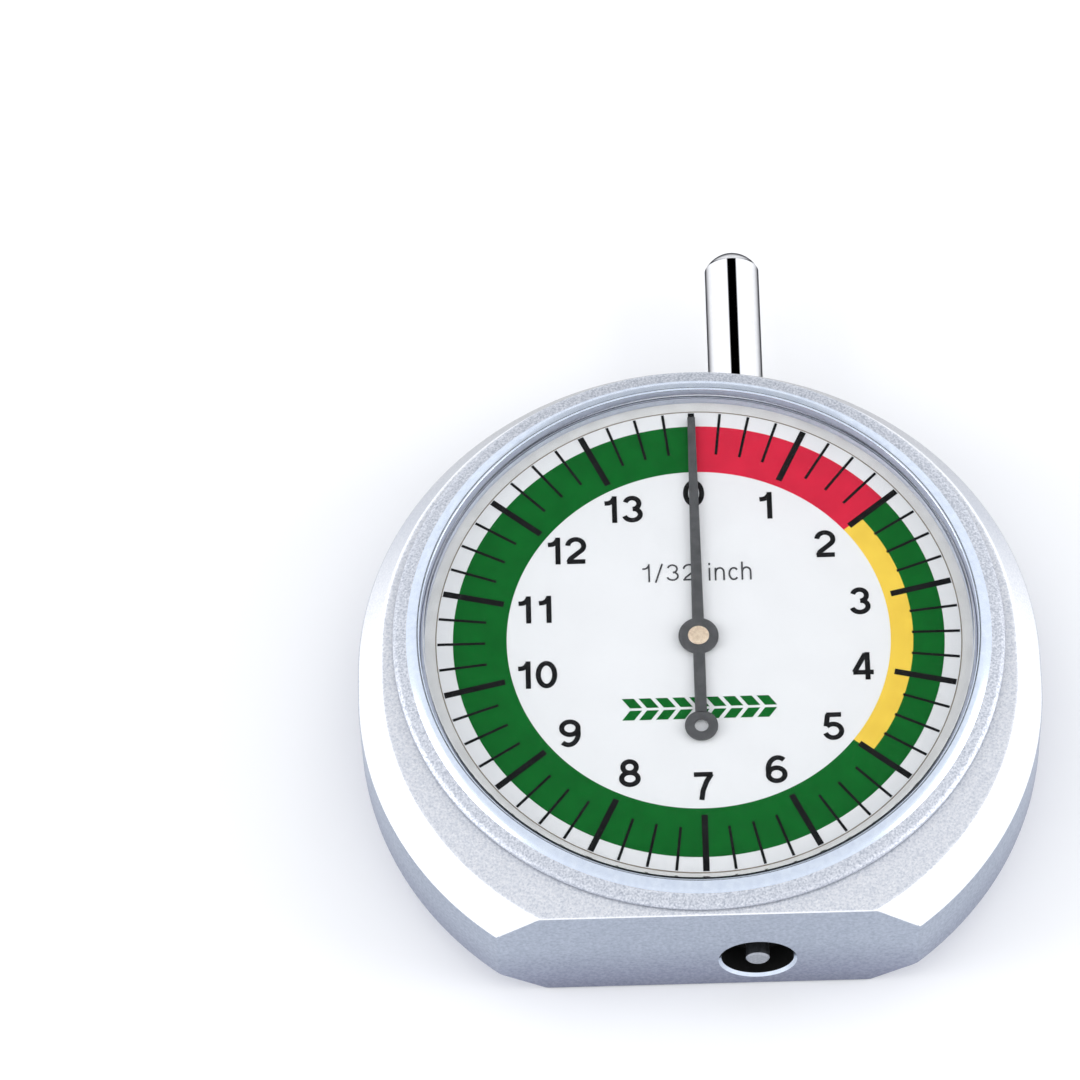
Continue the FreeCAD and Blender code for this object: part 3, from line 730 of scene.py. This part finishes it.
def bezel():
    profile = rounded([
        (RING_BORE_R, DIAL_Z, 0.03), (RING_NECK_R, DIAL_Z, 0.03), (RING_NECK_R, FACE_Z, 0.0),
        (RING_OUT_R - 0.14, FACE_Z, 0.03), (RING_OUT_R, FACE_Z + 0.14, 0.05),
        (RING_OUT_R, FACE_Z + 0.45, 0.12), (25.6, FACE_Z + 0.66, 0.14),
        (RING_LIP_R, FACE_Z + 0.88, 0.04), (24.46, FACE_Z + 1.10, 0.3), (24.12, FACE_Z + 1.28, 0.3),
        (23.80, FACE_Z + 1.37, 0.10), (RING_BORE_R, FACE_Z + 1.33, 0.08),
    ], 0.05, 5)
    ring = turned("bezel_ring_turned", profile, about_z, RING_BLASTED, "case", RING_STEPS, 22.0)
    for mat in RING_FINISHES[1:]:
        ring.data.materials.append(mat)
    for face in ring.data.polygons:
        face.material_index = RING_FINISHES.index(ring_finish(face.normal, face.center / MM))
    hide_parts("bezel_ring")


bezel()


def spacer():
    top = DIAL_Z + SPACER_HIGH
    corners = [(SPACER_IN_R, DIAL_Z), (SPACER_OUT_R, DIAL_Z), (SPACER_OUT_R, top), (SPACER_IN_R, top)]
    profile = rounded(corners, 0.04, 3)
    ring = turned("crystal_spacer_ring", profile, about_z, SLATE, "case", DISC_STEPS)
    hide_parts("crystal_spacer")


spacer()


def crystal():
    """The clear disc; a ring of flat faces inside its edge keeps the shading of the middle flat."""
    low, high = CRYSTAL_LOW_Z, CRYSTAL_HIGH_Z
    rim = CRYSTAL_R - CRYSTAL_RIM
    profile = rounded([
        (0, low, 0), (rim, low, 0), (CRYSTAL_R, low, 0.05), (CRYSTAL_R, high, 0.12), (rim, high, 0),
        (0, high, 0),
    ], 0.1, 4)
    disc = turned("crystal_disc", profile, about_z, CRYSTAL, "case", DISC_STEPS)
    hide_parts("crystal")


crystal()


# ---------------------------------------------------------------- printing on the dial
def printed(name, build, mat):
    """One thin solid of print on the dial; build draws it into a mesh."""
    bm = bmesh.new()
    build(bm)
    obj = finish_mesh(name, bm, mat, "case", smooth=False)


def band(*parts):
    """Builds parts of the colour band, each given as its radii and its turns."""
    def build(bm):
        for inner, outer, start, stop in parts:
            sector(bm, inner, outer, start, stop, INK_LOW, BAND_TOP)
    return build


def full_ring(inner, outer):
    """Builds a band all the way round."""
    return lambda bm: sector(bm, inner, outer, 0, 1, INK_LOW, BAND_TOP, DISC_STEPS)


printed("dial_band_green", band(
    (BAND_IN, BAND_OUT, YELLOW_END, 1.0), (BAND_MID, BAND_OUT, RED_END, YELLOW_END)), GREEN)
printed("dial_band_red", band((BAND_IN, BAND_OUT, 0, RED_END)), RED)
printed("dial_band_yellow", band((BAND_IN, BAND_MID, RED_END, YELLOW_END)), YELLOW)
printed("dial_rim_band", full_ring(*RIM_BAND), RIM_GREY)
printed("dial_rim_line", full_ring(*RIM_LINE), LINE)


def ticks(bm):
    for i in range(STEPS * MINOR):
        inner, half = TICK_SIZES[i % MINOR == 0]
        a = 2 * math.pi * (i / (STEPS * MINOR))
        out, across = Vector((math.sin(a), math.cos(a))), Vector((math.cos(a), -math.sin(a)))
        corners = [out * inner - across * half, out * inner + across * half,
                   out * TICK_OUT + across * half, out * TICK_OUT - across * half]
        prism(bm, [(c.x, c.y) for c in reversed(corners)], INK_LOW, TICK_TOP)


printed("dial_ticks", ticks, INK)


def curve(x, y, wide, high, start, stop, steps=16):
    """Points along an arc of an ellipse, angles in degrees."""
    angles = [math.radians(start + (stop - start) * i / steps) for i in range(steps + 1)]
    return [(x + wide * math.cos(a), y + high * math.sin(a)) for a in angles]


ARCH = [(0.07, 0.42)] + curve(0.28, 0.45, 0.20, 0.24, 170, 0, 10) + [(0.48, 0.0)]
SIX = [curve(0.35, 0.315, 0.265, 0.235, 0, 360, 28), curve(0.40, 0.50, 0.315, 0.4175, 52, 205)]
# Centre lines of the characters on a box one high. Each has its width and its strokes.
STROKES = {
    "0": (0.70, [curve(0.35, 0.5, 0.265, 0.4175, 0, 360, 32)]),
    "1": (0.60, [[(0.42, 0.0), (0.42, 1.0)],
                 [(0.10, 0.735), (0.24, 0.745), (0.34, 0.80), (0.40, 0.90)]]),
    "2": (0.70, [curve(0.345, 0.67, 0.26, 0.2475, 176, -38, 20) + [(0.17, 0.20), (0.11, 0.07)],
                 [(0.055, 0.0825), (0.65, 0.0825)]]),
    "3": (0.70, [curve(0.34, 0.705, 0.225, 0.2125, 165, -85, 18),
                 curve(0.34, 0.30, 0.262, 0.2175, 85, -165, 18)]),
    "4": (0.72, [[(0.07, 0.28), (0.44, 0.95)], [(0.03, 0.27), (0.69, 0.27)], [(0.50, 0.0), (0.50, 1.0)]]),
    "5": (0.70, [[(0.13, 0.9175), (0.61, 0.9175)], [(0.175, 0.93), (0.115, 0.50)],
                 curve(0.34, 0.33, 0.265, 0.2475, 140, -162, 22)]),
    "6": (0.70, SIX),
    "7": (0.70, [[(0.05, 0.9175), (0.65, 0.9175)],
                 [(0.61, 0.93), (0.45, 0.66), (0.33, 0.34), (0.28, 0.0)]]),
    "8": (0.70, [curve(0.35, 0.715, 0.215, 0.2025, 0, 360, 26),
                 curve(0.35, 0.30, 0.265, 0.2175, 0, 360, 28)]),
    "9": (0.70, [[(0.70 - x, 1.0 - y) for x, y in line] for line in SIX]),
    "/": (0.42, [[(0.03, -0.04), (0.37, 1.0)]]),
    "i": (0.22, [[(0.10, 0.0), (0.10, 0.70)], [(0.10, 0.86), (0.10, 0.98)]]),
    "n": (0.56, [[(0.07, 0.0), (0.07, 0.70)], ARCH]),
    "c": (0.54, [curve(0.30, 0.35, 0.22, 0.32, 42, 318, 16)]),
    "h": (0.56, [[(0.07, 0.0), (0.07, 1.0)], ARCH]),
    " ": (0.34, []),
}


def ribbon(bm, line, half, top):
    """A flat stroke along a centre line, square at its ends. A line that returns to its start is closed."""
    points = [Vector(p) for p in line]
    closed = (points[0] - points[-1]).length < FINE
    if closed:
        points.pop()
    count = len(points)
    rings = []
    for i, p in enumerate(points):
        ahead = points[(i + 1) % count] - p if closed or i < count - 1 else p - points[i - 1]
        behind = p - points[i - 1] if closed or i > 0 else ahead
        ahead, behind = ahead.normalized(), behind.normalized()
        along = (ahead + behind).normalized()
        side = Vector((-along.y, along.x)) * (half / max(0.5, along.dot(ahead)))
        corners = ((p - side, INK_LOW), (p + side, INK_LOW), (p + side, top), (p - side, top))
        rings.append([bm.verts.new(Vector((q.x, q.y, z)) * MM) for q, z in corners])
    for i in range(count if closed else count - 1):
        low, high = rings[i], rings[(i + 1) % count]
        for k in range(4):
            m = (k + 1) % 4
            bm.faces.new((low[k], low[m], high[m], high[k]))
    if not closed:
        bm.faces.new(rings[0])
        bm.faces.new(list(reversed(rings[-1])))


def write(bm, text, x, y, high, weight, gap):
    """Writes characters centred on a point. Weight is a stroke's width, and gap the space, per height."""
    widths = [STROKES[c][0] for c in text]
    left = x - high * (sum(widths) + gap * (len(text) - 1)) / 2
    layer = 0
    for c, wide in zip(text, widths):
        for line in STROKES[c][1]:
            placed = [(left + px * high, y + (py - 0.5) * high) for px, py in line]
            ribbon(bm, placed, high * weight / 2, TICK_TOP + STROKE_STEP * layer)
            layer += 1
        left += (wide + gap) * high


def numerals(bm):
    for number in range(STEPS):
        x, y = polar(NUMERAL_R, number / STEPS)
        write(bm, str(number), x, y, NUMERAL_HIGH, NUMERAL_WEIGHT, NUMERAL_GAP)


def legend(bm):
    write(bm, "1/32 inch", 0.0, LEGEND_Y, LEGEND_HIGH, LEGEND_WEIGHT, LEGEND_GAP)


def emblem(bm):
    """A strip of slanted tread blocks, the dial's plain ornament."""
    for low, high, lean in TREAD_ROWS:
        for i in range(TREAD_BLOCKS):
            left = TREAD_START_X + TREAD_PITCH * i
            right = left + TREAD_WIDE
            corners = [(left - lean, low), (right - lean, low), (right + lean, high), (left + lean, high)]
            prism(bm, corners, INK_LOW, TICK_TOP)


printed("dial_numerals", numerals, INK)
printed("dial_unit_legend", legend, GREY_INK)
printed("dial_emblem", emblem, GREEN)


# ---------------------------------------------------------------- pointer
def hand(bm, start, stop, wide, narrow):
    """A straight length of the pointer, with its upper edges cut off."""
    low, high, edge = POINTER_LOW_Z, POINTER_HIGH_Z, POINTER_EDGE
    ends = []
    for y, half in ((start, wide), (stop, narrow)):
        section = (
            (-half, low), (half, low), (half, high - edge),
            (half - edge, high), (-half + edge, high), (-half, high - edge),
        )
        ends.append([bm.verts.new(Vector((x, y, z)) * MM) for x, z in section])
    first, last = ends
    for k in range(len(first)):
        m = (k + 1) % len(first)
        bm.faces.new((first[k], first[m], last[m], last[k]))
    bm.faces.new(first)
    bm.faces.new(list(reversed(last)))


def pointer():
    low, high = POINTER_LOW_Z, POINTER_HIGH_Z
    bm = bmesh.new()
    lathe(bm, rounded([
        (BOSS_R, low), (POINTER_HUB_R, low), (POINTER_HUB_R, high + 0.02, 0.06),
        (POINTER_HUB_R - 0.25, high + 0.06, 0.05), (BOSS_R, high + 0.06, 0.03),
    ], 0.03, 4), about_z, HUB_STEPS)
    lathe(bm, rounded([
        (POINTER_EYE_R, low), (POINTER_TAIL_R, low), (POINTER_TAIL_R, high, 0.06), (POINTER_EYE_R, high, 0.06),
    ], 0.03, 4), at(0, POINTER_TAIL_Y), HUB_STEPS)
    reach = POINTER_HUB_R - 0.1
    hand(bm, reach, POINTER_TIP_Y, 0.5, 0.33)
    hand(bm, -reach, POINTER_TAIL_Y + 1.25, 0.5, 0.5)
    needle = finish_mesh("pointer_needle", bm, POINTER, "needle", 25.0)
    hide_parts("pointer")


pointer()


def boss():
    profile = rounded([
        (ARBOR_HOLE_R, BOSS_LOW_Z), (BOSS_R, BOSS_LOW_Z), (BOSS_R, BOSS_HIGH_Z - 0.04, 0.10),
        (ARBOR_HOLE_R, BOSS_HIGH_Z, 0.05), (0.0, BOSS_HIGH_Z, 0), (0.0, ARBOR_HOLE_Z, 0),
        (ARBOR_HOLE_R, ARBOR_HOLE_Z, 0),
    ], 0.03, 4)
    piece = turned("pointer_boss_turned", profile, about_z, BOSS, "needle", HUB_STEPS)
    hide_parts("pointer_boss")


boss()


# ---------------------------------------------------------------- push rod and return spring
def push_rod():
    start, end = ROD_GROOVE
    groove_r = ROD_R - ROD_GROOVE_DEEP
    profile = rounded([
        (0, TENON_Y, 0), (TENON_R, TENON_Y, 0.05), (TENON_R, ROD_START_Y, 0), (ROD_R, ROD_START_Y, 0.15),
        (ROD_R, start, 0), (groove_r, start, 0), (groove_r, end, 0), (ROD_R, end, 0),
    ], 0.05, 4, closed=False)
    dome_y = ROD_END_Y - ROD_DOME
    side, rise = math.cos(ROD_SHOULDER), math.sin(ROD_SHOULDER)
    profile.append((ROD_R, dome_y - ROD_SHOULDER_EDGE))
    for i in range(DOME_STEPS):
        a = ROD_SHOULDER + (math.pi / 2 - ROD_SHOULDER) * i / DOME_STEPS
        out, up = math.cos(a) / side, (math.sin(a) - rise) / (1 - rise)
        profile.append((ROD_R * out - (ROD_SHOULDER_EDGE if i == 0 else 0), dome_y + ROD_DOME * up))
    profile.append((0, ROD_END_Y))
    rod = turned("push_rod_turned", profile, about_plunger, CHROME, "plunger", 128)
    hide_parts("push_rod")


push_rod()


def return_spring():
    """The coil between the probe's bush and the rack bar's washer, built at one length; the real coil shortens
    as the rod goes in.
    """
    steps = COIL_TURNS * COIL_STEPS
    bm = bmesh.new()
    rings = []
    for i in range(steps + 1):
        y = COIL_LOW_Y + WIRE_R + (COIL_HIGH_Y - COIL_LOW_Y - 2 * WIRE_R) * i / steps
        a = 2 * math.pi * i / COIL_STEPS
        ring = []
        for k in range(WIRE_STEPS):
            b = 2 * math.pi * k / WIRE_STEPS
            point = about_plunger(COIL_R + WIRE_R * math.cos(b), y + WIRE_R * math.sin(b), a)
            ring.append(bm.verts.new(point))
        rings.append(ring)
    for low, high in zip(rings, rings[1:]):
        for k in range(WIRE_STEPS):
            m = (k + 1) % WIRE_STEPS
            bm.faces.new((low[k], low[m], high[m], high[k]))
    bm.faces.new(rings[0])
    bm.faces.new(list(reversed(rings[-1])))
    coil = finish_mesh("return_spring_coil", bm, SPRING, "case", 60.0)
    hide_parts("return_spring")
    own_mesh(coil)


return_spring()


# ---------------------------------------------------------------- finishes of the CAD pieces that stay
FINISH = {
    "dial_plate": WHITE, "dial_pins": STEEL, "main_plate": BRASS, "top_bridge": BRASS, "pillars": BRASS,
    "bridge_screws": STEEL, "back_screws": STEEL, "foot_bush": BRONZE, "bridge_bush": BRONZE,
    "rod_bush": BRONZE, "probe_bush": BLACK_ACETAL_AND_HOLE_SHADE, "rack_guide": BRASS, "guide_screws": STEEL,
    "hairspring_stud": STEEL, "hairspring": SPRING, "rack_bar": STEEL, "probe_pin": PROBE,
    "stop_ring": SPRING, "spring_washer": STEEL, "arbor": STEEL, "pinion": BRASS,
    "hairspring_collet": BRASS,
}
for node_name, finish in FINISH.items():
    for material_slot in NODES[node_name].material_slots:
        material_slot.material = finish


# ---------------------------------------------------------------- floor, light and camera
FLOOR_HALF = 2.0  # metres, as the lights and the camera below are too
FLOOR_DROP = 0.0002


def stage_floor():
    bm = bmesh.new()
    bmesh.ops.create_grid(bm, x_segments=8, y_segments=8, size=FLOOR_HALF)
    mesh = bpy.data.meshes.new("floor")
    bm.to_mesh(mesh)
    bm.free()
    floor = bpy.data.objects.new("floor", mesh)
    bpy.context.scene.collection.objects.link(floor)
    floor.location.z = -FLOOR_DROP
    mat, nodes, links, bsdf = material("pale_floor")
    tone = ramp(nodes, links, grain(nodes, links, 3.0), ((0.3, grey(0.955)), (0.7, grey(0.965))))
    links.new(tone, bsdf.inputs["Base Color"])
    bsdf.inputs["Roughness"].default_value = 0.85
    mesh.materials.append(mat)


stage_floor()


LIGHT_AWAY, LIGHT_NEAR, LIGHT_HIGH = 0.9, 0.10, 0.36
LIGHT_SIZE = 0.6
LIGHT_WATTS = 3.2


def soft_light(name, place):
    """A square light that looks at the object's middle."""
    data = bpy.data.lights.new(name, "AREA")
    data.shape = "RECTANGLE"
    data.size = data.size_y = LIGHT_SIZE
    data.energy = LIGHT_WATTS
    lamp = bpy.data.objects.new(name, data)
    bpy.context.scene.collection.objects.link(lamp)
    lamp.location = place
    lamp.rotation_euler = (-Vector(place)).to_track_quat("-Z", "Y").to_euler()


soft_light("light_left", (-LIGHT_AWAY, -LIGHT_NEAR, LIGHT_HIGH))
soft_light("light_right", (LIGHT_AWAY, -LIGHT_NEAR, LIGHT_HIGH))

# The studio sky, in the parts of a unit direction (x right, y away, z up). FLAG is a dark strip over
# the far side: its half width and soft edge, where it starts, where it fades toward the horizon, and
# how dark it is before and after that. TOP is a faint shade overhead: where it ends along y, where it
# starts along z, and how dark it is.
FLAG_HALF = 0.276
FLAG_SOFT = 0.04
FLAG_START = (0.38, 0.44)
FLAG_FADE = (0.60, 0.68)
FLAG_DARK = 1.0
FLAG_GREY = 0.42
TOP_END = (0.1, 0.45)
TOP_START = (0.45, 0.85)
TOP_SHADE = 0.14
SKY_LEVEL = 1.18
SKY_COLOUR = (0.95, 0.965, 1.0, 1.0)


def studio_sky():
    """A soft tent: bright walls, a slightly greyer top, and a narrow dark strip over the far side."""
    world = bpy.data.worlds.new("studio")
    bpy.context.scene.world = world
    world.use_nodes = True
    nodes, links = world.node_tree.nodes, world.node_tree.links

    def math_node(kind, first, second=0.0):
        node = nodes.new("ShaderNodeMath")
        node.operation = kind
        for socket, value in zip(node.inputs, (first, second)):
            if isinstance(value, float):
                socket.default_value = value
            else:
                links.new(value, socket)
        return node.outputs["Value"]

    def smooth(value, low, high, start, stop):
        node = nodes.new("ShaderNodeMapRange")
        node.interpolation_type = "SMOOTHSTEP"
        links.new(value, node.inputs["Value"])
        for socket, number in (("From Min", low), ("From Max", high), ("To Min", start), ("To Max", stop)):
            node.inputs[socket].default_value = number
        return node.outputs["Result"]

    where = nodes.new("ShaderNodeTexCoord")
    split = nodes.new("ShaderNodeSeparateXYZ")
    links.new(where.outputs["Generated"], split.inputs["Vector"])
    x, y, z = split.outputs
    top = math_node("MULTIPLY", smooth(y, *TOP_END, 1.0, 0.0), smooth(z, *TOP_START, 0.0, 1.0))
    across = smooth(math_node("ABSOLUTE", x), FLAG_HALF - FLAG_SOFT, FLAG_HALF + FLAG_SOFT, 1.0, 0.0)
    strip = math_node("MULTIPLY", across, smooth(y, *FLAG_START, 0.0, 1.0))
    flag = math_node("MULTIPLY", strip, smooth(y, *FLAG_FADE, FLAG_DARK, FLAG_GREY))
    shade = math_node("MAXIMUM", math_node("MULTIPLY", top, TOP_SHADE), flag)
    level = math_node("MULTIPLY", math_node("SUBTRACT", 1.0, shade), SKY_LEVEL)
    sky = nodes["Background"]
    sky.inputs["Color"].default_value = SKY_COLOUR
    links.new(level, sky.inputs["Strength"])


studio_sky()

# The camera looks at CAMERA_AIM from CAMERA_AWAY metres, turned to the right, down and about its axis.
CAMERA_YAW, CAMERA_PITCH, CAMERA_ROLL = (math.radians(a) for a in (1.44, 60.20, -2.84))
CAMERA_AIM = Vector((-0.01343, 0.01727, 0.0))
CAMERA_AWAY = 0.5700
CAMERA_LENS = 216.7


def camera():
    data = bpy.data.cameras.new("camera")
    data.lens = CAMERA_LENS
    data.sensor_width = 36.0
    data.clip_start = 0.01
    data.clip_end = 20.0
    cam = bpy.data.objects.new("camera", data)
    bpy.context.scene.collection.objects.link(cam)
    back = Vector((
        math.sin(CAMERA_YAW) * math.cos(CAMERA_PITCH),
        -math.cos(CAMERA_YAW) * math.cos(CAMERA_PITCH),
        math.sin(CAMERA_PITCH)))
    right = Vector((math.cos(CAMERA_YAW), math.sin(CAMERA_YAW), 0))
    up = back.cross(right)
    tilted = right * math.cos(CAMERA_ROLL) + up * math.sin(CAMERA_ROLL)
    upward = up * math.cos(CAMERA_ROLL) - right * math.sin(CAMERA_ROLL)
    place = CAMERA_AIM + back * CAMERA_AWAY
    cam.matrix_world = Matrix((
        (tilted.x, upward.x, back.x, place.x),
        (tilted.y, upward.y, back.y, place.y),
        (tilted.z, upward.z, back.z, place.z),
        (0, 0, 0, 1)))
    bpy.context.scene.camera = cam


camera()
bpy.context.scene.view_settings.view_transform = "Standard"
